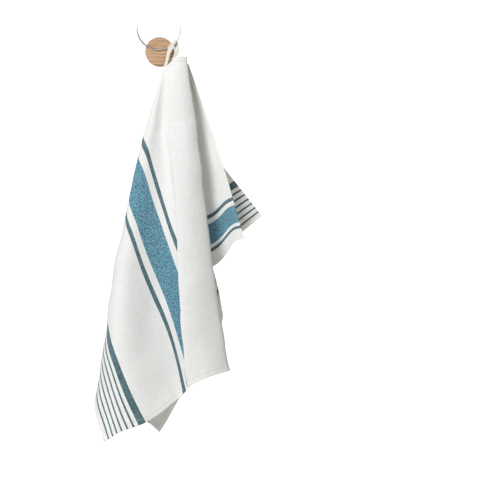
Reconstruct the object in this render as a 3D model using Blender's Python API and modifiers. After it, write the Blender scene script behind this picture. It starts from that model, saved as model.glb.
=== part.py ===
# A kitchen towel hanging by its loop from a wall hook: a wooden disc with a steel wire bent to a U.
# Metres, +Z up. The origin is the centre of the disc's back face, which lies against the wall, and
# the wall is the plane Y = 0. The room is on the -Y side, and X runs to the right along the wall.
import math
from collections import namedtuple

import bpy
import numpy as np

MM = 0.001

# The cloth's flat size, measured from the left end of the short stretch of its top edge that shows
# in front below the loop. That edge is one of the long ones.
PINSTRIPE_SIDE = 290 * MM
PLAIN_SIDE = 370 * MM
CLOTH_DROP = 500 * MM
CLOTH_THICK = 1.3 * MM

# The hook.
DISC_RADIUS = 22.3 * MM
DISC_THICK = 20 * MM
DISC_EDGE_ROUND = 1.5 * MM
WIRE_RADIUS = 1.4 * MM
BEND_RADIUS = 33.8 * MM
BEND_CENTRE = (-1.1 * MM, 36.2 * MM)  # across and up
PRONG_RISE = 1.5 * MM
GAP = 0.3 * MM  # what touching pieces keep between them

# The loop is a flat tape.
TAPE_WIDTH = 8 * MM
TAPE_THICK = 1.1 * MM

# How finely the solids are cut into faces.
COLUMNS_PER_DEGREE = 0.5
ROWS_DOWN = 15
ROW_CROWDING = 0.9  # under 1, the rows of faces stand closer together towards the hem
TAPE_STEPS = 56
WIRE_STEPS = 28
DISC_SIDES = 64
GROOVE_STEPS = 72
GROOVE_SIDES = 16

# The top edge of the cloth below the loop, from the pinstripe side to the plain side. It runs
# forward out of the back folds, across the front, and back again. along is the place on the
# cloth's own edge, and across, depth and height are X, Y and Z. All are in millimetres.
Gather = namedtuple("Gather", "along across depth height")
GATHERS = [
    Gather(22, 14.5, -12, -34.4),
    Gather(12, 9.5, -21, -31.4),
    Gather(4, 7, -30, -29.9),
    Gather(-2, 8.5, -35.5, -27.4),
    Gather(-10, 14.5, -38, -22.9),
    Gather(-20, 22, -38.5, -15.4),
    Gather(-30, 31, -38, -10.4),
    Gather(-38, 41.5, -35, -10.5),
    Gather(-46, 42.5, -29, -12.5),
    Gather(-56, 40.5, -20, -16),
    Gather(-63, 41.5, -14, -17.5),
    Gather(-70, 45, -18.5, -20),
]

# The folds fan out from the gathered edge. Each row is one line that runs straight down the cloth
# from that edge. turn is the line's direction on the flat cloth, in degrees from straight down and
# positive towards the pinstripe side. lean is its direction seen from the front, in degrees from
# straight down and positive to the right. depth is its Y in millimetres, so more negative is
# farther from the wall.
# Lean and depth are given where the line is 100, 300 and 500 mm long. slack is the share of its
# length that small waves take up. roll widens a hairpin fold, in millimetres of depth. curl is how
# many millimetres a line 300 mm long falls short, because the free end of a flap curls.
Fold = namedtuple("Fold", "name along turn lean depth slack roll curl", defaults=(0, 0))
ROLL_SPREAD = 2.2  # degrees of turn that a rolled fold takes up on each side
FOLDS = [
    Fold("pinstripe top edge", 22, 90, (27, 33.4, 27), (-6, -7, -8), -0.025, 0, 20),
    Fold("pinstripe flap", 18, 72, (17, 16.5, 16), (-6, -6, -6), 0, 0, 4),
    Fold("back pleat, left turn", 13, 55.5, (-1.5, -1.5, -2), (-8, -8.5, -8.5), 0.02),
    Fold("back pleat, right turn", 10, 48.5, (2, 3, 2.5), (-14, -16, -16), 0.02, 4),
    Fold("back left", 6, 41, (-6, -4.5, -4.5), (-21, -22, -20), 0.02),
    Fold("left fold", 2, 32.75, (-16.5, -13.3, -11.4), (-35, -54, -66), 0.01),
    Fold("pinstripe corner", 1, 30.05, (-15.5, -12.1, -9.5), (-44, -69, -86), 0),
    Fold("pinstripe panel", 0, 27, (-11.2, -9.3, -7.2), (-48, -73, -91), 0),
    Fold("left valley", -1, 23.1, (-7.2, -5.4, -3.2), (-46, -67, -84), 0),
    Fold("left rise", -5, 18.3, (-3.4, -0.5, 1.3), (-43, -61, -75), 0.02),
    Fold("pleat, under", -9, 14.4, (-2, 2.9, 3.6), (-47, -65, -76), 0.03),
    Fold("pleat, turn", -13, 11.9, (-1, 3.8, 5.2), (-52, -73, -85), 0.053, 2),
    Fold("pleat, ridge", -20, 9.4, (2, 1.8, 2.7), (-54, -84, -100), 0.01, 2),
    Fold("main panel", -30, 6.6, (6.5, 4.4, 5.1), (-52, -81, -95), 0.015, 2),
    Fold("main right edge", -38, 3.5, (8.7, 7.2, 7.9), (-46, -68, -78), 0.026),
    Fold("first inner layer", -42, -7, (0, -1.5, -2), (-40, -54, -60), 0.03),
    Fold("inner left turn", -46, -21, (-15, -15.5, -14), (-33, -42, -48), 0.02),
    Fold("inner wave", -49, -27.5, (-10, -11, -9.5), (-30, -31, -28), 0.02),
    Fold("plain corner", -52, -32.45, (-5, -5.7, -4.7), (-28.5, -38, -44), 0.03),
    Fold("inner bow", -54, -41, (1, 1.2, 3.2), (-28.5, -42, -44), 0.03),
    Fold("inner right turn", -56, -50, (5.5, 7.2, 9.3), (-24, -34, -35), 0.06, -1),
    Fold("inner pleat, left turn", -61, -61.5, (-3, -3.2, -3), (-19.5, -25, -26), 0.03, -3),
    Fold("flap roll", -64, -71, (6, 7, 7.2), (-17, -26, -30), -0.06, 0, 16),
    Fold("flap", -67, -80, (13.4, 13.8, 13.8), (-22, -44, -49), -0.055, 0, 29),
    Fold("plain top edge", -70, -90, (19.5, 17.7, 17.5), (-28, -64, -71), -0.055, 0, 27),
]
LINE_STATIONS = (100 * MM, 300 * MM, 500 * MM)
CURL_START = 180 * MM
CURL_SPAN = 120 * MM
LONGEST_BEND = 575 * MM  # past this length a line runs on straight

# The tape's path, from its front end at the hem up over the wire and down to its back end, and how
# far its width is turned out of the level. All are in millimetres and degrees.
Tape = namedtuple("Tape", "across depth height roll")
TAPE_PATH = [
    Tape(9.9, -36, -24.9, 37),
    Tape(12.4, -33, -15.5, 44),
    Tape(14.4, -30, -6.5, 36),
    Tape(16.4, -27, 0, 14),
    Tape(17.9, -25, 5.5, 0),
    Tape(20.6, -23.7, 10.6, 8),
    Tape(23, -22.6, 13.2, 30),
    Tape(22.7, -21.8, 14.8, 48),
    Tape(22.1, -20, 15.3, 48),
    Tape(22.7, -18.2, 14.8, 48),
    Tape(24, -17.5, 13.6, 48),
    Tape(26.2, -19.5, 7, 40),
    Tape(27, -25.5, -1.5, 26),
    Tape(25, -33.5, -9, 30),
    Tape(22, -38, -13.3, 36),
]


def natural_spline(knots, values, places):
    """Reads a natural cubic spline through values at knots, one row of values for each knot."""
    knots = np.asarray(knots, float)
    values = np.asarray(values, float)
    places = np.asarray(places, float)
    steps = np.diff(knots)
    rates = np.diff(values, axis=0) / steps[:, None]
    count = len(knots)
    system = np.eye(count)
    known = np.zeros_like(values)
    for i in range(1, count - 1):
        system[i, i - 1] = steps[i - 1]
        system[i, i] = 2 * (steps[i - 1] + steps[i])
        system[i, i + 1] = steps[i]
        known[i] = 6 * (rates[i] - rates[i - 1])
    bend = np.linalg.solve(system, known)
    span = np.clip(np.searchsorted(knots, places, side="right") - 1, 0, count - 2)
    width = steps[span][:, None]
    before = (places - knots[span])[:, None]
    after = width - before
    curve = (bend[span] * after**3 + bend[span + 1] * before**3) / (6 * width)
    curve += (values[span] / width - bend[span] * width / 6) * after
    curve += (values[span + 1] / width - bend[span + 1] * width / 6) * before
    return curve


def fold_values(turns):
    """Lean (radians) and depth at the three stations, slack and curl, smooth for each turn."""
    rows = sorted(FOLDS, key=lambda fold: fold.turn)
    knots = [fold.turn for fold in rows]
    table = [[*fold.lean, *fold.depth, fold.slack, fold.curl] for fold in rows]
    smooth = natural_spline(knots, table, turns)
    depth = smooth[:, 3:6]
    for fold in FOLDS:
        aside = (np.asarray(turns) - fold.turn) / ROLL_SPREAD
        depth = depth + (fold.roll * aside * np.exp(-(aside**2) / 2))[:, None]
    return np.radians(smooth[:, 0:3]), depth * MM, smooth[:, 6], smooth[:, 7] * MM


def gather_place(turns):
    """Where the line of each turn starts: its place along the cloth's edge, and in the room."""
    rows = sorted(FOLDS, key=lambda fold: fold.turn)
    along = np.interp(turns, [fold.turn for fold in rows], [fold.along for fold in rows])
    edge = sorted(GATHERS, key=lambda gather: gather.along)
    places = [[gather.across, gather.depth, gather.height] for gather in edge]
    room = natural_spline([gather.along for gather in edge], places, along)
    return along * MM, room * MM


def reach(along, turns):
    """How long each line is, from the gathered edge to the outline of the flat cloth."""
    sideways = np.sin(np.radians(turns))
    downward = np.maximum(np.cos(np.radians(turns)), 1e-9)
    side = np.where(sideways > 0, PINSTRIPE_SIDE - along, PLAIN_SIDE + along)
    to_side = side / np.maximum(np.abs(sideways), 1e-9)
    return np.minimum(to_side, CLOTH_DROP / downward)


def three_station_blend(values, lengths):
    """Reads values given at the three stations at any length, level before the first."""
    near, middle, far = LINE_STATIONS
    first = (values[1] - values[0]) / (middle - near)
    second = (values[2] - values[1]) / (far - middle)
    bend = (second - first) / (far - near)
    place = np.clip(lengths, near, LONGEST_BEND)
    return values[0] + first * (place - near) + bend * (place - near) * (place - middle)


def drape(turns, shares):
    """Points of the hanging cloth, one row for each turn and one column for each share of a line."""
    lean, depth, slack, curl = fold_values(turns)
    along, start = gather_place(turns)
    length = reach(along, turns)[:, None] * np.asarray(shares)[None, :]
    lean_here = three_station_blend([lean[:, i : i + 1] for i in range(3)], length)
    depth_here = three_station_blend([depth[:, i : i + 1] for i in range(3)], length)
    leaving = np.clip(length / LINE_STATIONS[0], 0, 1)
    leaving = leaving * (2 - leaving)
    depth_here = start[:, 1:2] + (depth_here - start[:, 1:2]) * leaving
    past = np.maximum(length - CURL_START, 0) / CURL_SPAN
    hanging = length * (1 - slack[:, None]) - curl[:, None] * past**2
    forward = depth_here - start[:, 1:2]
    in_plane = np.sqrt(np.maximum(hanging**2 - forward**2, 0))
    points = np.stack(
        [
            start[:, 0:1] + in_plane * np.sin(lean_here),
            depth_here,
            start[:, 2:3] - in_plane * np.cos(lean_here),
        ],
        axis=2,
    )
    return points


def cloth_turns(per_degree):
    """Turns across the whole cloth, with a line at each corner and at each fold of the table."""
    turns = [FOLDS[0].turn]
    for last, fold in zip(FOLDS, FOLDS[1:]):
        count = max(2, math.ceil(abs(last.turn - fold.turn) * per_degree))
        turns.extend(np.linspace(last.turn, fold.turn, count + 1)[1:])
    return np.array(turns)


def new_collection(name):
    collection = bpy.data.collections.new(name)
    bpy.context.scene.collection.children.link(collection)
    return collection


def new_material(name, colour, roughness, metallic=0.0):
    material = bpy.data.materials.new(name)
    material.use_nodes = True
    shader = material.node_tree.nodes["Principled BSDF"]
    shader.inputs["Base Color"].default_value = (*colour, 1)
    shader.inputs["Roughness"].default_value = roughness
    shader.inputs["Metallic"].default_value = metallic
    return material


def grid_object(name, points, collection, material):
    """An open sheet through a grid of points, with its front towards the room."""
    rows, columns = points.shape[:2]
    mesh = bpy.data.meshes.new(name)
    corner = np.arange(rows * columns).reshape(rows, columns)
    faces = [
        (corner[i, j], corner[i + 1, j], corner[i + 1, j + 1], corner[i, j + 1])
        for i in range(rows - 1)
        for j in range(columns - 1)
    ]
    mesh.from_pydata(points.reshape(-1, 3).tolist(), [], faces)
    mesh.shade_smooth()
    mesh.materials.append(material)
    sheet = bpy.data.objects.new(name, mesh)
    collection.objects.link(sheet)
    return sheet


def thicken(sheet, thickness):
    solid = sheet.modifiers.new("Thickness", "SOLIDIFY")
    solid.thickness = thickness
    solid.offset = 0
    return solid


def make_cloth(collection):
    material = new_material("linen", (0.86, 0.86, 0.82), 0.9)
    shares = np.linspace(0, 1, ROWS_DOWN + 1) ** ROW_CROWDING
    points = drape(cloth_turns(COLUMNS_PER_DEGREE), shares)
    cloth = grid_object("towel_cloth", points, collection, material)
    thicken(cloth, CLOTH_THICK)


def make_loop(collection):
    material = new_material("linen tape", (0.82, 0.81, 0.76), 0.9)
    table = [[stop.across, stop.depth, stop.height, stop.roll] for stop in TAPE_PATH]
    legs = np.linalg.norm(np.diff(np.array(table)[:, 0:3], axis=0), axis=1)
    knots = np.concatenate([[0], np.cumsum(legs)])
    path = natural_spline(knots, table, np.linspace(0, knots[-1], TAPE_STEPS + 1))
    centre = path[:, 0:3] * MM
    roll = np.radians(path[:, 3])
    side = np.stack([np.cos(roll), np.zeros(len(roll)), np.sin(roll)], axis=1)
    half = side * TAPE_WIDTH / 2
    points = np.stack([centre - half, centre + half], axis=1)
    loop = grid_object("hanging_loop", points, collection, material)
    thicken(loop, TAPE_THICK)


def bend_point(angle, depth):
    """A point on the wire's centre line, with the angle from its lowest point."""
    across, up = BEND_CENTRE
    return (across + BEND_RADIUS * math.sin(angle), depth, up - BEND_RADIUS * math.cos(angle))


def make_wire(collection):
    material = new_material("steel wire", (0.6, 0.6, 0.6), 0.3, 1.0)
    depth = -DISC_THICK
    route = [bend_point(a, depth) for a in np.linspace(-math.pi / 2, math.pi / 2, WIRE_STEPS + 1)]
    for end, place in ((route[0], 0), (route[-1], len(route) + 1)):
        route.insert(place, (end[0], end[1], end[2] + PRONG_RISE))
    curve = bpy.data.curves.new("hook_wire", "CURVE")
    curve.dimensions = "3D"
    curve.bevel_depth = WIRE_RADIUS
    curve.bevel_resolution = 2
    curve.use_fill_caps = True
    spline = curve.splines.new("POLY")
    spline.points.add(len(route) - 1)
    for point, place in zip(spline.points, route):
        point.co = (*place, 1)
    curve.materials.append(material)
    wire = bpy.data.objects.new("hook_wire", curve)
    collection.objects.link(wire)


def move_to(obj, collection):
    for old in list(obj.users_collection):
        old.objects.unlink(obj)
    collection.objects.link(obj)


def make_disc(collection, cutters):
    material = new_material("beech", (0.62, 0.42, 0.26), 0.55)
    bpy.ops.mesh.primitive_cylinder_add(
        vertices=DISC_SIDES,
        radius=DISC_RADIUS,
        depth=DISC_THICK,
        location=(0, -DISC_THICK / 2, 0),
        rotation=(math.pi / 2, 0, 0),
    )
    disc = bpy.context.object
    disc.name = "hook_disc"
    disc.data.materials.append(material)
    move_to(disc, collection)
    rounding = disc.modifiers.new("Rounded edge", "BEVEL")
    rounding.width = DISC_EDGE_ROUND
    rounding.segments = 2
    rounding.limit_method = "ANGLE"
    disc.data.shade_smooth()
    disc.data.set_sharp_from_angle(angle=math.radians(40))
    across, up = BEND_CENTRE
    bpy.ops.mesh.primitive_torus_add(
        major_radius=BEND_RADIUS,
        minor_radius=WIRE_RADIUS + GAP,
        major_segments=GROOVE_STEPS,
        minor_segments=GROOVE_SIDES,
        location=(across, -DISC_THICK, up),
        rotation=(math.pi / 2, 0, 0),
    )
    groove = bpy.context.object
    groove.name = "groove_cutter"
    groove.hide_render = True
    groove.display_type = "WIRE"
    move_to(groove, cutters)
    cut = disc.modifiers.new("Groove", "BOOLEAN")
    cut.operation = "DIFFERENCE"
    cut.solver = "EXACT"
    cut.object = groove


def main():
    for old in list(bpy.data.objects):
        bpy.data.objects.remove(old, do_unlink=True)
    parts = new_collection("hanging towel and hook")
    cutters = new_collection("cutters")
    make_disc(parts, cutters)
    make_wire(parts)
    make_loop(parts)
    make_cloth(parts)


main()
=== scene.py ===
import math
from collections import namedtuple

import bpy
import numpy as np
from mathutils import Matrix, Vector


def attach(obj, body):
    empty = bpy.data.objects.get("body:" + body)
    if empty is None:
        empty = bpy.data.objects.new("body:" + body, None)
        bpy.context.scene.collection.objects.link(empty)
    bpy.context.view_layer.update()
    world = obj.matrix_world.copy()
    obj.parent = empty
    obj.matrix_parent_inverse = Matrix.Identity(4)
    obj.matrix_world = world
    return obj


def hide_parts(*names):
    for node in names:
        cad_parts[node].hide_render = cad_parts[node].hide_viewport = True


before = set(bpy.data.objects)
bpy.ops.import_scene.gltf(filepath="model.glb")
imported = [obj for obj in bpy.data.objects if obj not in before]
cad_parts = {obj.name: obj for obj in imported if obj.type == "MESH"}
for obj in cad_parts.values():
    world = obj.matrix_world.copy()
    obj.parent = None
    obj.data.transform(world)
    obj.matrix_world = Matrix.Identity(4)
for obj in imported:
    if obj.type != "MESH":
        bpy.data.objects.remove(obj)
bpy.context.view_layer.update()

MM = 0.001
TINY = 1e-9  # keeps a division away from nought
TINY_AREA = 1e-12  # the same for a grid cell's area, in square metres

# The flat cloth, measured from the left end of the stretch of top edge that shows in front.
PINSTRIPE_SIDE = 290 * MM
PLAIN_SIDE = 370 * MM
CLOTH_DROP = 500 * MM
CLOTH_THICK = 0.9 * MM  # at the hems
THIN_SHARE = 0.55  # how much of that a single layer has
HEM_WIDTH = 8.5 * MM
HEM_BLEND = 1.2 * MM  # how far the hem's thickness takes to fade out

# How finely the cloth is cut.
LINES_PER_DEGREE = 2.2
BODY_ROWS = 104
HEM_ROWS = 5

# The stripes run down the cloth. centre is measured along the top edge and width across, in mm.
Stripe = namedtuple("Stripe", "kind centre width")
STRIPES = [
    Stripe("pin", 279.2, 3.1),
    Stripe("pin", 269.4, 3.1),
    Stripe("pin", 259.6, 3.1),
    Stripe("pin", 249.8, 3.1),
    Stripe("pin", 240.0, 3.1),
    Stripe("pin", 230.2, 3.1),
    Stripe("pin", 217.6, 10.8),
    Stripe("pin", 123.0, 6.2),
    Stripe("broad", 92.0, 36.0),
    Stripe("pin", 60.6, 6.2),
    Stripe("pin", -284.0, 6.2),
    Stripe("broad", -312.0, 34.0),
    Stripe("pin", -339.0, 6.2),
]

# The gathered top edge below the loop. along is the place on the cloth's own edge, and across,
# depth and height are X, Y and Z. All are in millimetres.
Gather = namedtuple("Gather", "along across depth height")
GATHERS = [
    Gather(22, 14.5, -12, -34.4),
    Gather(12, 9.5, -21, -31.4),
    Gather(4, 7, -30, -29.9),
    Gather(-2, 8.5, -35.5, -27.4),
    Gather(-10, 14.5, -38, -22.9),
    Gather(-20, 22, -38.5, -15.4),
    Gather(-30, 31, -38, -10.4),
    Gather(-38, 41.5, -35, -10.5),
    Gather(-46, 42.5, -29, -12.5),
    Gather(-56, 40.5, -20, -16),
    Gather(-63, 41.5, -14, -17.5),
    Gather(-70, 45, -18.5, -20),
]

# The folds fan out from the gathered edge. Each row is one line that runs straight down the flat
# cloth. turn is its direction there, in degrees from straight down and positive towards the
# pinstripe side. lean is its direction seen from the front, in degrees from straight down and
# positive to the right. depth is its Y in millimetres. Lean and depth are given where the line is
# as long as each of LINE_STATIONS. slack is the share of its length that small waves take up, and
# below 0 the share by which it is drawn longer. roll widens a hairpin fold, in millimetres of depth.
# curl is how many millimetres a line 300 mm long falls short, because the free end of a flap curls.
Fold = namedtuple("Fold", "name along turn lean depth slack roll curl", defaults=(0, 0))
ROLL_SPREAD = 2.2  # degrees of turn that a rolled fold takes up on each side
FOLDS = [
    Fold("pinstripe top edge", 22, 90, (27, 33.4, 27), (-6, -7, -8), -0.025, 0, 20),
    Fold("pinstripe flap", 18, 72, (17, 16.5, 16), (-6, -6, -6), 0, 0, 4),
    Fold("back pleat, left turn", 13, 55.5, (-1.5, -1.5, -2), (-8, -8.5, -8.5), 0.02),
    Fold("back pleat, right turn", 10, 48.5, (2, 3, 2.5), (-14, -16, -16), 0.02, 4),
    Fold("back left", 6, 41, (-6, -4.5, -4.5), (-21, -22, -20), 0.02),
    Fold("left fold", 2, 32.75, (-16.5, -13.3, -11.4), (-35, -54, -66), 0.01),
    Fold("pinstripe corner", 1, 30.05, (-15.5, -12.1, -9.5), (-44, -69, -86), 0),
    Fold("pinstripe panel", 0, 27, (-11.2, -9.3, -7.2), (-48, -73, -91), 0),
    Fold("left valley", -1, 23.1, (-7.2, -5.4, -3.2), (-46, -67, -84), 0),
    Fold("left rise", -5, 18.3, (-3.4, -0.5, 1.3), (-43, -61, -75), 0.02),
    Fold("pleat, under", -9, 14.4, (-2, 2.9, 3.6), (-47, -65, -76), 0.03),
    Fold("pleat, turn", -13, 11.9, (-1, 3.8, 5.2), (-52, -73, -85), 0.053, 2),
    Fold("pleat, ridge", -20, 9.4, (2, 1.8, 2.7), (-54, -84, -100), 0.01, 2),
    Fold("main panel", -30, 6.6, (6.5, 4.4, 5.1), (-52, -81, -95), 0.015, 2),
    Fold("main right edge", -38, 3.5, (8.7, 7.2, 7.9), (-46, -68, -78), 0.026),
    Fold("first inner layer", -42, -7, (0, -1.5, -2), (-40, -54, -60), 0.03),
    Fold("inner left turn", -46, -21, (-15, -15.5, -14), (-33, -42, -48), 0.02),
    Fold("inner wave", -49, -27.5, (-10, -11, -9.5), (-30, -31, -28), 0.02),
    Fold("plain corner", -52, -32.45, (-5, -5.7, -4.7), (-28.5, -38, -44), 0.03),
    Fold("inner bow", -54, -41, (1, 1.2, 3.2), (-28.5, -42, -44), 0.03),
    Fold("inner right turn", -56, -50, (5.5, 7.2, 9.3), (-24, -34, -35), 0.06, -1),
    Fold("inner pleat, left turn", -61, -61.5, (-3, -3.2, -3), (-19.5, -25, -26), 0.03, -3),
    Fold("flap roll", -64, -71, (6, 7, 7.2), (-17, -26, -30), -0.06, 0, 16),
    Fold("flap", -67, -80, (13.4, 13.8, 13.8), (-22, -44, -49), -0.055, 0, 29),
    Fold("plain top edge", -70, -90, (19.5, 17.7, 17.5), (-28, -64, -71), -0.055, 0, 27),
]
LINE_STATIONS = (100 * MM, 300 * MM, 500 * MM)
CURL_START = 180 * MM
CURL_SPAN = 120 * MM
LONGEST_BEND = 575 * MM  # past this length a line runs on straight

# Soft ridges and troughs pressed into the cloth. Each runs between two places on the flat cloth,
# given as along the top edge and down from it. height is how far it stands out into the room where
# the cloth shows in front. All are in millimetres.
Crease = namedtuple("Crease", "x1 u1 x2 u2 width height")
CREASES = [
    Crease(152, 220, 228, 570, 32, 7.0),
    Crease(98, 230, 176, 590, 22, -1.5),
    Crease(70, 150, 96, 250, 9, 0.7),
    Crease(40, 60, 150, 300, 14, 0.9),
    Crease(14, 40, 62, 330, 11, -2.2),
    Crease(-6, 100, 32, 570, 16, 2.4),
    Crease(130, 240, 205, 400, 12, 0.8),
    Crease(-8, 60, 14, 330, 9, -0.8),
    Crease(-24, 40, -12, 200, 7, 0.7),
    Crease(-190, 60, -330, 96, 9, 0.8),
    Crease(-150, 20, -300, 44, 10, -0.9),
    Crease(-120, 30, -190, 60, 8, 0.7),
]
CREASE_FADE = 0.7  # under 1, a crease keeps its height until near its ends
RELIEF_START = 60 * MM  # creases and crumples grow over this length below the gathered edge

# The crumple of washed linen is a few crossing waves.
CRUMPLE_DRAW = 11
CRUMPLE_WAVES = 16
CRUMPLE_LENGTHS = (24, 75)  # mm
CRUMPLE_HEIGHT = 0.0035  # as a share of a wave's length

# The tape's path from its front end at the hem, over the wire and down to its back end, in
# millimetres. roll is how far its width is turned out of the level, in degrees.
Tape = namedtuple("Tape", "across depth height roll")
TAPE_PATH = [
    Tape(9.9, -36, -24.9, 37),
    Tape(12.4, -33, -15.5, 44),
    Tape(14.4, -30, -6.5, 36),
    Tape(16.4, -27, 0, 14),
    Tape(17.9, -25, 5.5, 0),
    Tape(20.6, -23.7, 10.6, 8),
    Tape(23, -22.6, 13.2, 30),
    Tape(22.7, -21.8, 14.8, 48),
    Tape(22.1, -20, 15.3, 48),
    Tape(22.7, -18.2, 14.8, 48),
    Tape(24, -17.5, 13.6, 48),
    Tape(26.2, -19.5, 7, 40),
    Tape(27, -25.5, -1.5, 26),
    Tape(25, -33.5, -9, 30),
    Tape(22, -38, -13.3, 36),
]
TAPE_WIDTH = 8 * MM
TAPE_THICK = 0.9 * MM
TAPE_STEPS = 150
TAPE_COLUMNS = 8

# The hook's wire. Its centre line lies in the plane of the disc's front.
DISC_THICK = 20 * MM
WIRE_RADIUS = 1.4 * MM
WIRE_ROUNDNESS = 5
BEND_RADIUS = 33.8 * MM
BEND_CENTRE = (-1.1 * MM, 36.2 * MM)
BEND_POINTS = 97
PRONG_RISE = 1.5 * MM
DOME_POINTS = 7
DOME_TIP = 0.02  # the dome's last radius, as a share of the wire's

# The threads of the linen and the marks of its hems, in millimetres.
THREAD_PITCH = 0.62
THREAD_LENGTH = 9.0
SHOW_PITCH = 1.7  # the coarser unevenness of thread that shows from afar
SHOW_LENGTH = 16.0
SHOW_SHARE = 0.6
SPECKLE_PITCH = 2.6  # the mottling of the broad stripes
SPECKLE_SHARE = 0.55
EDGE_PITCH = 1.1  # the edge of a stripe steps from thread to thread
EDGE_LENGTH = 40.0
EDGE_STEP = 0.8
STITCH_INSET = 7.0
STITCH_PITCH = 2.6
STITCH_SPAN = (-0.5, 0.1)  # where a stitch starts and ends in the wave of its pitch
SEAM_HALF = 0.45
FOLD_LINE_HALF = 0.35

# How far the weave, slubs, stitches and needle holes stand out, in shares of LINEN_RELIEF.
LINEN_RELIEF = 0.22 * MM
LINEN_RELIEF_STRENGTH = 0.7
WEAVE_LIFT = 0.25
THREAD_LIFT = 1.6
STITCH_LIFT = 0.9
NEEDLE_DIP = 1.2

WHITE_DARK = (0.85, 0.85, 0.83)
WHITE_LIGHT = (0.92, 0.92, 0.905)
WHITE_SPAN = (0.40, 0.60)
BROAD_DARK = (0.045, 0.150, 0.215)
BROAD_LIGHT = (0.20, 0.43, 0.56)
BROAD_SPAN = (0.37, 0.63)
PIN_DARK = (0.050, 0.105, 0.135)
PIN_LIGHT = (0.13, 0.235, 0.27)
# Painted shade: the next colour darkens the hem's fold line and the needle holes between the stitches,
# where small shadows fall, by the two shares after it.
HEM_PAINTED_SHADE = (0.30, 0.30, 0.28)
FOLD_LINE_SHADE_SHARE = 0.16
NEEDLE_HOLE_SHADE_SHARE = 0.25
STITCH_COLOUR = (0.80, 0.79, 0.75)
STITCH_SHARE = 0.5

# Most of a noise's values lie in its span. A roughness is given at both ends of a span.
NOISE_SPAN = (0.3, 0.7)
THREAD_SPAN = (0.35, 0.65)
LINEN_ROUGHNESS = (0.94, 0.80)

TAPE_DARK = (0.70, 0.67, 0.60)
TAPE_LIGHT = (0.90, 0.88, 0.82)
TAPE_SPAN = (0.3, 0.8)
TAPE_ROUGHNESS = (0.95, 0.8)
TAPE_RIB = 0.9  # mm
TAPE_RIB_SHARE = 0.18
TAPE_GRAIN = (0.8, 5.0)  # mm across and along
TAPE_RELIEF = 0.2 * MM
TAPE_RELIEF_STRENGTH = 0.8

# Grain sizes of wood and steel, as noise cells to the metre: across, up and into the wall. The
# wood's rings are spaced along the height in millimetres, which sways by up to WOOD_SWAY.
SWAY_RATES = (38.0, 70.0)
WOOD_SWAY = 5.5
RING_RATES = (12.0, 0.62, 60.0)
PORE_RATES = (160.0, 2200.0, 2200.0)
DRAWN_RATES = (900.0, 900.0, 2500.0)
WOOD_DARK = (0.36, 0.20, 0.10)
WOOD_LIGHT = (0.66, 0.43, 0.255)
WOOD_PORE = (0.27, 0.14, 0.07)
RING_SPAN = (0.34, 0.66)
PORE_SPAN = (0.55, 0.72)
PORE_SHARE = 0.45
PORE_LIFT = 0.5
WOOD_ROUGHNESS = (0.6, 0.42)
WOOD_RELIEF = 0.15 * MM
WOOD_RELIEF_STRENGTH = 0.6
STEEL_DARK = (0.52, 0.52, 0.52)
STEEL_LIGHT = (0.68, 0.67, 0.66)
STEEL_ROUGHNESS = (0.22, 0.38)

# The map of the flat cloth runs from 0 to 1 over this many millimetres, and the tape's over these.
PLAN_SPAN = 700.0
PLAN_NAME = "FlatCloth"
TAPE_SPAN_ACROSS = 10.0
TAPE_SPAN_ALONG = 100.0
TAPE_PLAN = "FlatTape"

# The stage, the light and the photograph's view. The view looks level along +Y, and its scale holds
# on the plane through VIEW_DEPTH.
FLOOR_HALF = 1.3
FLOOR_HEIGHT = -1.05
FLOOR_GRAIN = 30.0  # noise cells to the metre, and likewise for the backdrop
FLOOR_DARK = (0.80, 0.80, 0.79)
FLOOR_LIGHT = (0.84, 0.84, 0.83)
BACKDROP_HALF = 2.2
BACKDROP_DEPTH = 4.0
BACKDROP_GRAIN = 20.0
BACKDROP_DARK = (0.99, 0.99, 0.99)
BACKDROP_LIGHT = (1.0, 1.0, 1.0)
BACKDROP_GLOW = 0.9
SKY_COLOUR = (1.0, 0.975, 0.91, 1)
SKY_STRENGTH = 0.34
Lamp = namedtuple("Lamp", "name place target size watts colour")
LAMPS = [
    Lamp("key", (-1.15, -2.15, 0.9), (0, 0, -0.25), 1.2, 52.0, (1.0, 1.0, 1.0)),
    Lamp("fill", (0.9, -2.4, 0.1), (0.1, 0, -0.25), 1.6, 5.0, (1.0, 0.98, 0.93)),
]
PIXELS_PER_METRE = 650.0
PICTURE_SIDE = 500.0
HOOK_PIXEL = (158.7, 49.6)
VIEW_DEPTH = -0.040
VIEW_DISTANCE = 2.4
SENSOR = 36.0


def natural_spline(knots, values, places):
    """Reads a natural cubic spline through values at knots, one row of values for each knot."""
    knots = np.asarray(knots, float)
    values = np.asarray(values, float)
    places = np.asarray(places, float)
    steps = np.diff(knots)
    rates = np.diff(values, axis=0) / steps[:, None]
    count = len(knots)
    system = np.eye(count)
    known = np.zeros_like(values)
    for i in range(1, count - 1):
        system[i, i - 1] = steps[i - 1]
        system[i, i] = 2 * (steps[i - 1] + steps[i])
        system[i, i + 1] = steps[i]
        known[i] = 6 * (rates[i] - rates[i - 1])
    bend = np.linalg.solve(system, known)
    span = np.clip(np.searchsorted(knots, places, side="right") - 1, 0, count - 2)
    width = steps[span][:, None]
    before = (places - knots[span])[:, None]
    after = width - before
    curve = (bend[span] * after**3 + bend[span + 1] * before**3) / (6 * width)
    curve += (values[span] / width - bend[span] * width / 6) * after
    curve += (values[span + 1] / width - bend[span + 1] * width / 6) * before
    return curve


def fold_values(turns):
    """Lean (radians) and depth at the three stations, slack and curl, smooth for each turn."""
    rows = sorted(FOLDS, key=lambda fold: fold.turn)
    knots = [fold.turn for fold in rows]
    table = [[*fold.lean, *fold.depth, fold.slack, fold.curl] for fold in rows]
    smooth = natural_spline(knots, table, turns)
    depth = smooth[:, 3:6]
    for fold in FOLDS:
        aside = (np.asarray(turns) - fold.turn) / ROLL_SPREAD
        depth = depth + (fold.roll * aside * np.exp(-(aside**2) / 2))[:, None]
    return np.radians(smooth[:, 0:3]), depth * MM, smooth[:, 6], smooth[:, 7] * MM


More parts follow.
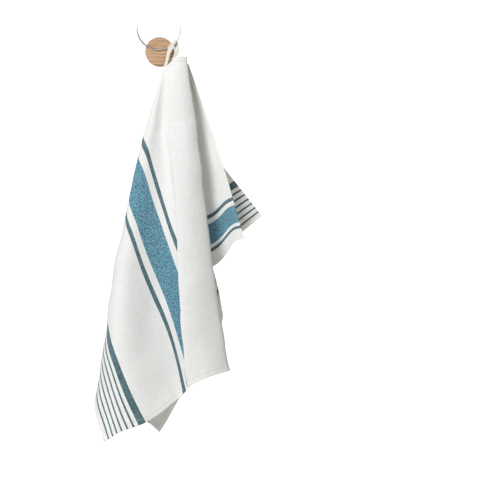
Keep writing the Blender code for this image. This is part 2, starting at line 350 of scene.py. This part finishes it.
def gather_place(turns):
    """Where the line of each turn starts: its place along the cloth's edge, and in the room."""
    rows = sorted(FOLDS, key=lambda fold: fold.turn)
    along = np.interp(turns, [fold.turn for fold in rows], [fold.along for fold in rows])
    edge = sorted(GATHERS, key=lambda gather: gather.along)
    places = [[gather.across, gather.depth, gather.height] for gather in edge]
    room = natural_spline([gather.along for gather in edge], places, along)
    return along * MM, room * MM


def reach(along, turns, inset=0.0):
    """How long each line is, from the gathered edge to the flat cloth's outline less an inset."""
    sideways = np.sin(np.radians(turns))
    downward = np.maximum(np.cos(np.radians(turns)), TINY)
    side = np.where(sideways > 0, PINSTRIPE_SIDE - along, PLAIN_SIDE + along) - inset
    to_side = side / np.maximum(np.abs(sideways), TINY)
    return np.minimum(to_side, (CLOTH_DROP - inset) / downward)


def three_station_blend(values, lengths):
    """Reads values given at the three stations at any length, level before the first."""
    near, middle, far = LINE_STATIONS
    first = (values[1] - values[0]) / (middle - near)
    second = (values[2] - values[1]) / (far - middle)
    bend = (second - first) / (far - near)
    place = np.clip(lengths, near, LONGEST_BEND)
    return values[0] + first * (place - near) + bend * (place - near) * (place - middle)


def drape(turns, lengths):
    """Points of the hanging cloth, one row for each turn and one column for each length."""
    lean, depth, slack, curl = fold_values(turns)
    _, start = gather_place(turns)
    lean_here = three_station_blend([lean[:, i : i + 1] for i in range(3)], lengths)
    depth_here = three_station_blend([depth[:, i : i + 1] for i in range(3)], lengths)
    leaving = np.clip(lengths / LINE_STATIONS[0], 0, 1)
    leaving = leaving * (2 - leaving)
    depth_here = start[:, 1:2] + (depth_here - start[:, 1:2]) * leaving
    past = np.maximum(lengths - CURL_START, 0) / CURL_SPAN
    hanging = lengths * (1 - slack[:, None]) - curl[:, None] * past**2
    forward = depth_here - start[:, 1:2]
    in_plane = np.sqrt(np.maximum(hanging**2 - forward**2, 0))
    across = start[:, 0:1] + in_plane * np.sin(lean_here)
    height = start[:, 2:3] - in_plane * np.cos(lean_here)
    return np.stack([across, depth_here, height], axis=2)


def cloth_turns(per_degree):
    """Turns across the whole cloth, with a line at each corner and at each fold of the table."""
    turns = [FOLDS[0].turn]
    for last, fold in zip(FOLDS, FOLDS[1:]):
        count = max(2, math.ceil(abs(last.turn - fold.turn) * per_degree))
        turns.extend(np.linspace(last.turn, fold.turn, count + 1)[1:])
    return np.array(turns)


def room_normals(points):
    """Unit normals of a grid of points, which face the room where the cloth lies flat in front."""
    across = np.gradient(points, axis=0)
    down = np.gradient(points, axis=1)
    normals = np.cross(down, across)
    return normals / np.maximum(np.linalg.norm(normals, axis=2, keepdims=True), TINY_AREA)


def crease_relief(x, u):
    """How far the pressed creases lift each place of the flat cloth, in metres."""
    relief = np.zeros_like(x)
    for crease in CREASES:
        start = np.array([crease.x1, crease.u1]) * MM
        run = np.array([crease.x2, crease.u2]) * MM - start
        length = np.linalg.norm(run)
        run = run / length
        forward = (x - start[0]) * run[0] + (u - start[1]) * run[1]
        aside = (x - start[0]) * run[1] - (u - start[1]) * run[0]
        share = np.clip(forward / length, 0, 1)
        fade = np.sin(math.pi * share) ** CREASE_FADE
        relief += crease.height * MM * fade * np.exp(-((aside / (crease.width * MM)) ** 2))
    return relief


def crumple_relief(x, u):
    """Gentle unevenness of washed linen, in metres."""
    draw = np.random.RandomState(CRUMPLE_DRAW)
    relief = np.zeros_like(x)
    for _ in range(CRUMPLE_WAVES):
        wave = draw.uniform(*CRUMPLE_LENGTHS) * MM
        heading = draw.uniform(0, math.pi)
        start = draw.uniform(0, 2 * math.pi)
        phase = 2 * math.pi * (x * math.cos(heading) + u * math.sin(heading)) / wave + start
        relief += CRUMPLE_HEIGHT * wave * np.sin(phase)
    return relief


def new_grid(name, points, plan, material, plan_name):
    """A sheet through a grid of points, with a map that holds each point's place on it when flat."""
    rows, columns = points.shape[:2]
    mesh = bpy.data.meshes.new(name)
    corner = np.arange(rows * columns).reshape(rows, columns)
    faces = np.stack([corner[:-1, :-1], corner[1:, :-1], corner[1:, 1:], corner[:-1, 1:]], axis=2)
    mesh.from_pydata(points.reshape(-1, 3).tolist(), [], faces.reshape(-1, 4).tolist())
    mesh.shade_smooth()
    mesh.materials.append(material)
    plan_map = mesh.uv_layers.new(name=plan_name)
    vertex = np.zeros(len(mesh.loops), np.int32)
    mesh.loops.foreach_get("vertex_index", vertex)
    plan_map.uv.foreach_set("vector", plan.reshape(-1, 2)[vertex].astype(np.float32).ravel())
    sheet = bpy.data.objects.new(name, mesh)
    bpy.context.scene.collection.objects.link(sheet)
    return sheet


def thicken(sheet, thick):
    """Gives a sheet its thickness, half on each side, and returns the modifier."""
    solid = sheet.modifiers.new("Thickness", "SOLIDIFY")
    solid.thickness = thick
    solid.offset = 0
    return solid


class Graph:
    """A material's nodes, with short calls for the few kinds that are used here."""

    def __init__(self, name):
        self.material = bpy.data.materials.new(name)
        self.material.use_nodes = True
        self.tree = self.material.node_tree
        self.shader = self.tree.nodes["Principled BSDF"]

    def put(self, socket, value):
        """Links a node's output to a socket, or sets the socket to a plain value."""
        if isinstance(value, bpy.types.NodeSocket):
            self.tree.links.new(value, socket)
        elif isinstance(value, tuple) and len(value) == 3 and socket.type == "RGBA":
            socket.default_value = (*value, 1)
        else:
            socket.default_value = value

    def surface(self, **values):
        """Puts values on the shader's sockets, named with _ for each space."""
        for name, value in values.items():
            self.put(self.shader.inputs[name.replace("_", " ")], value)

    def math(self, operation, first, second=0.0, third=0.0):
        node = self.tree.nodes.new("ShaderNodeMath")
        node.operation = operation
        for socket, value in zip(node.inputs, (first, second, third)):
            self.put(socket, value)
        return node.outputs[0]

    def plus(self, first, second):
        return self.math("ADD", first, second)

    def minus(self, first, second):
        return self.math("SUBTRACT", first, second)

    def times(self, first, second):
        return self.math("MULTIPLY", first, second)

    def wave(self, value, pitch):
        """A sine wave with this pitch."""
        return self.math("SINE", self.times(value, 2 * math.pi / pitch))

    def vector(self, x, y, z=0.0):
        node = self.tree.nodes.new("ShaderNodeCombineXYZ")
        for socket, value in zip(node.inputs, (x, y, z)):
            self.put(socket, value)
        return node.outputs[0]

    def mix(self, share, first, second):
        node = self.tree.nodes.new("ShaderNodeMix")
        node.data_type = "RGBA"
        self.put(node.inputs[0], share)
        self.put(node.inputs[6], first)
        self.put(node.inputs[7], second)
        return node.outputs[2]

    def noise(self, vector, detail=2.0, scale=1.0):
        node = self.tree.nodes.new("ShaderNodeTexNoise")
        self.put(node.inputs["Vector"], vector)
        node.inputs["Scale"].default_value = scale
        node.inputs["Detail"].default_value = detail
        return node.outputs["Fac"]

    def pitched_noise(self, places, pitches, draw=0.0, detail=2.0):
        """Noise over two places, whose cells are as long as the pitches. draw picks another one."""
        scaled = [self.math("DIVIDE", place, pitch) for place, pitch in zip(places, pitches)]
        return self.noise(self.vector(*scaled, draw), detail)

    def rated_noise(self, places, rates, detail=2.0):
        """Noise over two or three places, with as many cells to the unit as the rates."""
        scaled = [self.times(place, rate) for place, rate in zip(places, rates)]
        return self.noise(self.vector(*scaled), detail)

    def span(self, value, low, high, to_low=0.0, to_high=1.0):
        """A soft step from to_low to to_high as the value goes from low to high."""
        node = self.tree.nodes.new("ShaderNodeMapRange")
        node.interpolation_type = "SMOOTHSTEP"
        self.put(node.inputs["Value"], value)
        node.inputs["From Min"].default_value = low
        node.inputs["From Max"].default_value = high
        node.inputs["To Min"].default_value = to_low
        node.inputs["To Max"].default_value = to_high
        return node.outputs["Result"]

    def plan(self, plan_name):
        """The two flat coordinates that a map holds."""
        node = self.tree.nodes.new("ShaderNodeUVMap")
        node.uv_map = plan_name
        parts = self.tree.nodes.new("ShaderNodeSeparateXYZ")
        self.tree.links.new(node.outputs[0], parts.inputs[0])
        return parts.outputs[0], parts.outputs[1]

    def place(self):
        """Position on the object, in metres."""
        node = self.tree.nodes.new("ShaderNodeTexCoord")
        parts = self.tree.nodes.new("ShaderNodeSeparateXYZ")
        self.tree.links.new(node.outputs["Object"], parts.inputs[0])
        return parts.outputs

    def relief(self, height, distance, strength):
        node = self.tree.nodes.new("ShaderNodeBump")
        node.inputs["Distance"].default_value = distance
        node.inputs["Strength"].default_value = strength
        self.put(node.inputs["Height"], height)
        self.put(self.shader.inputs["Normal"], node.outputs[0])


def thread_value(graph, x, u, pitch, length):
    """Uneven threads both ways: fine across themselves and long along themselves."""
    warp = graph.pitched_noise((x, u), (pitch, length))
    weft = graph.pitched_noise((x, u), (length, pitch), draw=7.0)
    return graph.times(graph.plus(warp, weft), 0.5)


def striped_colour(graph, x, u, threads):
    """The white ground with the stripes woven into it."""
    lift = graph.span(threads, *WHITE_SPAN)
    jitter = graph.pitched_noise((u, x), (EDGE_PITCH, EDGE_LENGTH), draw=3.0)
    x_edge = graph.plus(x, graph.times(graph.minus(jitter, 0.5), EDGE_STEP))
    masks = {"pin": 0.0, "broad": 0.0}
    for stripe in STRIPES:
        band = graph.math("COMPARE", x_edge, stripe.centre, stripe.width / 2)
        masks[stripe.kind] = graph.plus(band, masks[stripe.kind])
    white = graph.mix(lift, WHITE_DARK, WHITE_LIGHT)
    speckle = graph.pitched_noise((x, u), (SPECKLE_PITCH, SPECKLE_PITCH), detail=1.0)
    mottle = graph.plus(graph.times(threads, 1 - SPECKLE_SHARE), graph.times(speckle, SPECKLE_SHARE))
    broad = graph.mix(graph.span(mottle, *BROAD_SPAN), BROAD_DARK, BROAD_LIGHT)
    pin = graph.mix(lift, PIN_DARK, PIN_LIGHT)
    colour = graph.mix(masks["broad"], white, broad)
    return graph.mix(masks["pin"], colour, pin)


def hem_marks(graph, x, u):
    """Where the hem's inner edge, its stitches and the needle holes between them are."""
    to_pin_side = graph.minus(PINSTRIPE_SIDE / MM, x)
    to_plain_side = graph.plus(PLAIN_SIDE / MM, x)
    to_bottom = graph.minus(CLOTH_DROP / MM, u)
    to_side = graph.math("MINIMUM", to_pin_side, to_plain_side)
    to_end = graph.math("MINIMUM", to_bottom, u)
    edge = graph.math("MINIMUM", to_side, to_end)
    on_side = graph.math("LESS_THAN", to_side, to_end)
    run = graph.plus(graph.times(on_side, u), graph.times(graph.minus(1.0, on_side), x))
    dash = graph.span(graph.wave(run, STITCH_PITCH), *STITCH_SPAN)
    seam = graph.math("COMPARE", edge, STITCH_INSET, SEAM_HALF)
    stitch = graph.times(seam, dash)
    needle = graph.times(seam, graph.minus(1.0, dash))
    fold_line = graph.math("COMPARE", edge, HEM_WIDTH / MM, FOLD_LINE_HALF)
    return fold_line, stitch, needle


def linen_material():
    graph = Graph("striped linen")
    plan_x, plan_u = graph.plan(PLAN_NAME)
    x = graph.minus(graph.times(plan_x, PLAN_SPAN), PLAIN_SIDE / MM)
    u = graph.times(plan_u, PLAN_SPAN)

    coarse = thread_value(graph, x, u, SHOW_PITCH, SHOW_LENGTH)
    fine = thread_value(graph, x, u, THREAD_PITCH, THREAD_LENGTH)
    threads = graph.plus(graph.times(coarse, SHOW_SHARE), graph.times(fine, 1 - SHOW_SHARE))
    colour = striped_colour(graph, x, u, threads)

    fold_line, stitch, needle = hem_marks(graph, x, u)
    # Painted shade darkens the hem's fold line and the needle holes between the stitches.
    painted_shade = graph.plus(graph.times(fold_line, FOLD_LINE_SHADE_SHARE), graph.times(needle, NEEDLE_HOLE_SHADE_SHARE))
    colour = graph.mix(painted_shade, colour, HEM_PAINTED_SHADE)
    colour = graph.mix(graph.times(stitch, STITCH_SHARE), colour, STITCH_COLOUR)

    weave = graph.times(graph.wave(x, THREAD_PITCH), graph.wave(u, THREAD_PITCH))
    height = graph.plus(graph.times(weave, WEAVE_LIFT), graph.times(threads, THREAD_LIFT))
    height = graph.plus(height, graph.times(stitch, STITCH_LIFT))
    height = graph.minus(height, graph.times(needle, NEEDLE_DIP))
    graph.relief(height, LINEN_RELIEF, LINEN_RELIEF_STRENGTH)

    # Thin cloth lets some light through and has a faint fuzz.
    graph.surface(
        Base_Color=colour,
        Roughness=graph.span(threads, *THREAD_SPAN, *LINEN_ROUGHNESS),
        Subsurface_Weight=0.6,
        Subsurface_Scale=1.2 * MM,
        Subsurface_Radius=(1.0, 0.9, 0.75),
        Sheen_Weight=0.12,
        Sheen_Roughness=0.6,
    )
    return graph.material


def tape_material():
    graph = Graph("woven tape")
    across, along = graph.plan(TAPE_PLAN)
    x = graph.times(across, TAPE_SPAN_ACROSS)
    u = graph.times(along, TAPE_SPAN_ALONG)
    # Herringbone: the slant turns over at the middle of the tape.
    from_middle = graph.math("ABSOLUTE", graph.minus(x, TAPE_WIDTH / MM / 2))
    rib = graph.wave(graph.plus(u, from_middle), TAPE_RIB)
    uneven = graph.pitched_noise((x, u), TAPE_GRAIN)
    value = graph.plus(graph.times(rib, TAPE_RIB_SHARE), uneven)
    graph.relief(value, TAPE_RELIEF, TAPE_RELIEF_STRENGTH)
    graph.surface(
        Base_Color=graph.mix(graph.span(value, *TAPE_SPAN), TAPE_DARK, TAPE_LIGHT),
        Roughness=graph.span(uneven, *NOISE_SPAN, *TAPE_ROUGHNESS),
    )
    return graph.material


def wood_material():
    graph = Graph("beech")
    x, y, z = graph.place()
    sway = graph.rated_noise((x, z), SWAY_RATES, 1.0)
    level = graph.plus(graph.times(z, 1 / MM), graph.times(sway, WOOD_SWAY))
    ring = graph.rated_noise((x, level, y), RING_RATES, 3.0)
    pore = graph.rated_noise((x, z, y), PORE_RATES)
    colour = graph.mix(graph.span(ring, *RING_SPAN), WOOD_DARK, WOOD_LIGHT)
    colour = graph.mix(graph.span(pore, *PORE_SPAN, to_high=PORE_SHARE), colour, WOOD_PORE)
    height = graph.plus(ring, graph.times(pore, PORE_LIFT))
    graph.relief(height, WOOD_RELIEF, WOOD_RELIEF_STRENGTH)
    graph.surface(Base_Color=colour, Roughness=graph.span(ring, *NOISE_SPAN, *WOOD_ROUGHNESS))
    return graph.material


def steel_material():
    graph = Graph("satin steel wire")
    x, y, z = graph.place()
    drawn = graph.rated_noise((x, z, y), DRAWN_RATES)
    graph.surface(
        Base_Color=graph.mix(graph.span(drawn, *NOISE_SPAN), STEEL_DARK, STEEL_LIGHT),
        Roughness=graph.span(drawn, *NOISE_SPAN, *STEEL_ROUGHNESS),
        Metallic=1.0,
    )
    return graph.material


def make_towel():
    turns = cloth_turns(LINES_PER_DEGREE)
    along, _ = gather_place(turns)
    full = reach(along, turns)
    to_hem = reach(along, turns, HEM_WIDTH)
    body = np.linspace(0, 1, BODY_ROWS + 1)[None, :] * to_hem[:, None]
    hem = np.linspace(0, 1, HEM_ROWS + 1)[None, 1:] * (full - to_hem)[:, None] + to_hem[:, None]
    lengths = np.concatenate([body, hem], axis=1)
    points = drape(turns, lengths)
    x = along[:, None] + lengths * np.sin(np.radians(turns))[:, None]
    u = lengths * np.cos(np.radians(turns))[:, None]
    start = np.clip(lengths / RELIEF_START, 0, 1)
    relief = (crease_relief(x, u) + crumple_relief(x, u)) * start
    points = points + room_normals(points) * relief[:, :, None]
    plan = np.stack([(x / MM + PLAIN_SIDE / MM) / PLAN_SPAN, u / MM / PLAN_SPAN], axis=2)
    towel = new_grid("towel_linen", points, plan, linen_material(), PLAN_NAME)

    # The hems are thicker than the single layer between them.
    edge = np.minimum(np.minimum(PINSTRIPE_SIDE - x, PLAIN_SIDE + x), np.minimum(CLOTH_DROP - u, u))
    hem_share = np.clip((HEM_WIDTH + HEM_BLEND / 2 - edge) / HEM_BLEND, 0, 1).reshape(-1).round(2)
    group = towel.vertex_groups.new(name="hem")
    for weight in np.unique(hem_share):
        chosen = np.nonzero(hem_share == weight)[0]
        group.add(chosen.tolist(), float(weight), "REPLACE")
    solid = thicken(towel, CLOTH_THICK)
    solid.vertex_group = group.name
    solid.thickness_vertex_group = THIN_SHARE
    return towel


def make_tape():
    table = [[stop.across, stop.depth, stop.height, stop.roll] for stop in TAPE_PATH]
    legs = np.linalg.norm(np.diff(np.array(table)[:, 0:3], axis=0), axis=1)
    knots = np.concatenate([[0], np.cumsum(legs)])
    run = np.linspace(0, knots[-1], TAPE_STEPS + 1)
    path = natural_spline(knots, table, run)
    centre = path[:, 0:3] * MM
    roll = np.radians(path[:, 3])
    side = np.stack([np.cos(roll), np.zeros(len(roll)), np.sin(roll)], axis=1)
    shares = np.linspace(-0.5, 0.5, TAPE_COLUMNS + 1)
    points = centre[:, None, :] + side[:, None, :] * (shares * TAPE_WIDTH)[None, :, None]
    place_x = (shares + 0.5) * TAPE_WIDTH / MM / TAPE_SPAN_ACROSS
    place_u = (run / TAPE_SPAN_ALONG)[:, None]
    size = points.shape[:2]
    plan = np.stack([np.broadcast_to(place_x, size), np.broadcast_to(place_u, size)], axis=2)
    tape = new_grid("loop_tape", points, plan, tape_material(), TAPE_PLAN)
    thicken(tape, TAPE_THICK)
    return tape


def make_wire():
    across, up = BEND_CENTRE
    turns = np.linspace(-math.pi / 2, math.pi / 2, BEND_POINTS)
    bend = [(across + BEND_RADIUS * math.sin(a), up - BEND_RADIUS * math.cos(a)) for a in turns]
    # Each prong ends in a small dome.
    tip = [(math.sin(a), math.cos(a)) for a in np.linspace(0, math.pi / 2, DOME_POINTS)]
    top = bend[0][1] + PRONG_RISE - WIRE_RADIUS
    rise = [(top + WIRE_RADIUS * high, max(thick, DOME_TIP)) for high, thick in tip]
    left = [(bend[0][0], high, thick) for high, thick in reversed(rise)]
    right = [(bend[-1][0], high, thick) for high, thick in rise]
    route = left + [(px, pz, 1.0) for px, pz in bend] + right
    curve = bpy.data.curves.new("wire_hook", "CURVE")
    curve.dimensions = "3D"
    curve.bevel_depth = WIRE_RADIUS
    curve.bevel_resolution = WIRE_ROUNDNESS
    curve.use_fill_caps = True
    spline = curve.splines.new("POLY")
    spline.points.add(len(route) - 1)
    for point, (px, pz, thick) in zip(spline.points, route):
        point.co = (px, -DISC_THICK, pz, 1)
        point.radius = thick
    spline.use_smooth = True
    curve.materials.append(steel_material())
    wire = bpy.data.objects.new("wire_hook", curve)
    bpy.context.scene.collection.objects.link(wire)
    return wire


def add_stage(name, centre, first, second, graph):
    """A four-cornered part of the stage, from its centre and its two half sides."""
    centre, first, second = Vector(centre), Vector(first), Vector(second)
    corners = [centre - first - second, centre + first - second]
    corners += [centre + first + second, centre - first + second]
    mesh = bpy.data.meshes.new(name)
    mesh.from_pydata(corners, [], [(0, 1, 2, 3)])
    mesh.materials.append(graph.material)
    plane = bpy.data.objects.new(name, mesh)
    bpy.context.scene.collection.objects.link(plane)


def make_stage():
    graph = Graph("pale floor")
    speckle = graph.noise(graph.vector(*graph.place()), scale=FLOOR_GRAIN)
    graph.surface(Base_Color=graph.mix(speckle, FLOOR_DARK, FLOOR_LIGHT), Roughness=0.8)
    half = FLOOR_HALF
    add_stage("pale_floor", (0, 0, FLOOR_HEIGHT), (half, 0, 0), (0, half, 0), graph)

    # A white backdrop with a glow of its own stands far behind.
    graph = Graph("white backdrop")
    grain = graph.noise(graph.vector(*graph.place()), scale=BACKDROP_GRAIN)
    white = graph.mix(grain, BACKDROP_DARK, BACKDROP_LIGHT)
    graph.surface(Base_Color=white, Emission_Color=white, Emission_Strength=BACKDROP_GLOW, Roughness=0.9)
    half = BACKDROP_HALF
    add_stage("white_backdrop", (0, BACKDROP_DEPTH, 0), (half, 0, 0), (0, 0, half), graph)


def add_lamp(row):
    light = bpy.data.lights.new(row.name, "AREA")
    light.shape = "DISK"
    light.size = row.size
    light.energy = row.watts
    light.color = row.colour
    lamp = bpy.data.objects.new(row.name, light)
    lamp.location = row.place
    aim = Vector(row.target) - Vector(row.place)
    lamp.rotation_euler = aim.to_track_quat("-Z", "Y").to_euler()
    bpy.context.scene.collection.objects.link(lamp)


def make_light():
    scene = bpy.context.scene
    world = bpy.data.worlds.new("studio")
    world.use_nodes = True
    sky = world.node_tree.nodes["Background"]
    sky.inputs["Color"].default_value = SKY_COLOUR
    sky.inputs["Strength"].default_value = SKY_STRENGTH
    scene.world = world
    for row in LAMPS:
        add_lamp(row)
    scene.view_settings.view_transform = "Standard"


def make_camera():
    scene = bpy.context.scene
    middle = PICTURE_SIDE / 2
    across = (middle - HOOK_PIXEL[0]) / PIXELS_PER_METRE
    up = (HOOK_PIXEL[1] - middle) / PIXELS_PER_METRE
    camera = bpy.data.cameras.new("camera")
    camera.sensor_width = SENSOR
    camera.lens = SENSOR * VIEW_DISTANCE * PIXELS_PER_METRE / PICTURE_SIDE
    eye = bpy.data.objects.new("camera", camera)
    eye.location = Vector((across, VIEW_DEPTH, up)) - Vector((0, VIEW_DISTANCE, 0))
    eye.rotation_euler = (math.pi / 2, 0, 0)
    scene.collection.objects.link(eye)
    scene.camera = eye


towel = make_towel()
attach(towel, "root")
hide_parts("towel_cloth")

tape = make_tape()
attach(tape, "root")
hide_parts("hanging_loop")

wire = make_wire()
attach(wire, "root")
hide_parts("hook_wire")

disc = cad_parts["hook_disc"]
disc.material_slots[0].material = wood_material()

make_stage()
make_light()
make_camera()
